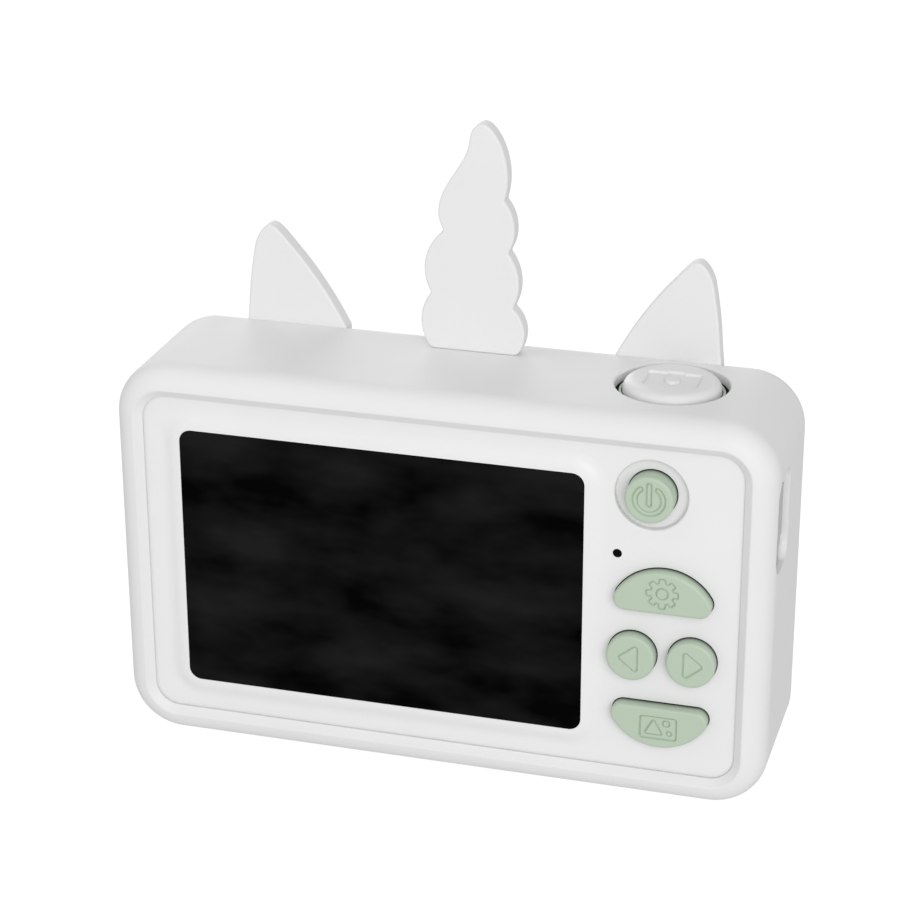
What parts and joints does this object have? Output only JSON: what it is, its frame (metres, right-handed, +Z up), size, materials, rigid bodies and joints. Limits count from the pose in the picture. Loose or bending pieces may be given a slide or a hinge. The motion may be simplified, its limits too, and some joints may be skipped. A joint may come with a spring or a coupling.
{
  "type": "kids digital camera",
  "caption": "Child's compact digital camera in a soft white sleeve with two ears and a horn, a large rear screen, sage green buttons and a round shutter button on top.",
  "frame": {"origin": "bottom centre of the whole camera's bounding box, on the surface it stands on", "axes": "+X to the right of a person looking at the screen, +Y from the screen towards the lens, +Z up"},
  "size_m": [0.1188, 0.0354, 0.1138],
  "materials": {
    "silicone": "soft white silicone rubber, fine matt",
    "white_shell": "moulded white ABS, satin",
    "screen_glass": "black-edged cover window, gloss",
    "lcd": "dark polariser, satin",
    "backlight": "white reflector film and light guide",
    "tinned_steel": "thin pressed tin-plated steel",
    "polyimide": "amber polyimide flex",
    "foam": "black closed-cell foam tape",
    "board": "green solder mask on glass-epoxy",
    "chips": "black moulded packages",
    "switches": "black nylon switch bodies",
    "microphone": "pressed aluminium can",
    "boot": "black rubber",
    "speaker": "black steel basket",
    "battery": "silver laminated pouch",
    "wires": "insulated stranded wire",
    "plug": "off-white nylon plug",
    "card": "black moulded card",
    "door": "moulded light grey ABS, satin",
    "sage": "sage green ABS, satin",
    "shutter_white": "white ABS, satin",
    "steel": "nickel-plated steel",
    "bezel": "sage green ABS, satin",
    "clear": "clear polished",
    "barrel": "black, ribbed inside",
    "flash": "white board with a yellow phosphor dome"
  },
  "bodies": {
    "camera": {"silicone_sleeve": "silicone", "horn": "silicone", "rear_shell": "white_shell", "front_shell": "white_shell", "screen_glass": "screen_glass", "lcd_panel": "lcd", "lcd_backlight": "backlight", "lcd_tray": "tinned_steel", "card_socket": "tinned_steel", "usb_port": "tinned_steel", "lcd_flex": "polyimide", "camera_flex": "polyimide", "foam_strips": "foam", "battery_pad": "foam", "shutter_seal": "foam", "main_board": "board", "shutter_board": "board", "sensor_board": "board", "board_chips": "chips", "tact_switches": "switches", "shutter_switch": "switches", "microphone": "microphone", "microphone_boot": "boot", "microphone_gauze": "boot", "speaker": "speaker", "battery": "battery", "battery_wires": "wires", "battery_plug": "plug", "shutter_collar": "sage", "hinge_pin": "steel", "strap_bar": "steel", "case_screws": "steel", "board_screws": "steel", "camera_screws": "steel", "shutter_screws": "steel", "lens_bezel": "bezel", "lens_window": "clear", "lens_element": "clear", "flash_window": "clear", "lens_barrel": "barrel", "flash_led": "flash"},
    "power_button": {"power_button": "sage"},
    "settings_button": {"settings_button": "sage"},
    "gallery_button": {"gallery_button": "sage"},
    "left_button": {"left_button": "sage"},
    "right_button": {"right_button": "sage"},
    "shutter_button": {"shutter_button": "shutter_white"},
    "port_door": {"port_door": "door"},
    "memory_card": {"memory_card": "card"}
  },
  "joints": [
    {"name": "power_press", "type": "slide", "parent": "camera", "child": "power_button", "axis": [0, 1, 0], "range_m": [0, 0.0006], "stiffness_N_per_m": 800, "springref_m": -0.0005},
    {"name": "settings_press", "type": "slide", "parent": "camera", "child": "settings_button", "axis": [0, 1, 0], "range_m": [0, 0.0006], "stiffness_N_per_m": 800, "springref_m": -0.0005},
    {"name": "gallery_press", "type": "slide", "parent": "camera", "child": "gallery_button", "axis": [0, 1, 0], "range_m": [0, 0.0006], "stiffness_N_per_m": 800, "springref_m": -0.0005},
    {"name": "left_press", "type": "slide", "parent": "camera", "child": "left_button", "axis": [0, 1, 0], "range_m": [0, 0.0006], "stiffness_N_per_m": 800, "springref_m": -0.0005},
    {"name": "right_press", "type": "slide", "parent": "camera", "child": "right_button", "axis": [0, 1, 0], "range_m": [0, 0.0006], "stiffness_N_per_m": 800, "springref_m": -0.0005},
    {"name": "shutter_press", "type": "slide", "parent": "camera", "child": "shutter_button", "axis": [0, 0, -1], "range_m": [0, 0.0008], "stiffness_N_per_m": 900, "springref_m": -0.0006},
    {"name": "port_door_hinge", "type": "hinge", "parent": "camera", "child": "port_door", "pos_m": [0.05742, -0.0039, 0.0533], "axis": [0, 0, 1], "range_deg": [0, 90]},
    {"name": "memory_card_push", "type": "slide", "parent": "camera", "child": "memory_card", "axis": [-1, 0, 0], "range_m": [0, 0.0005], "stiffness_N_per_m": 700, "springref_m": -0.0005}
  ]
}
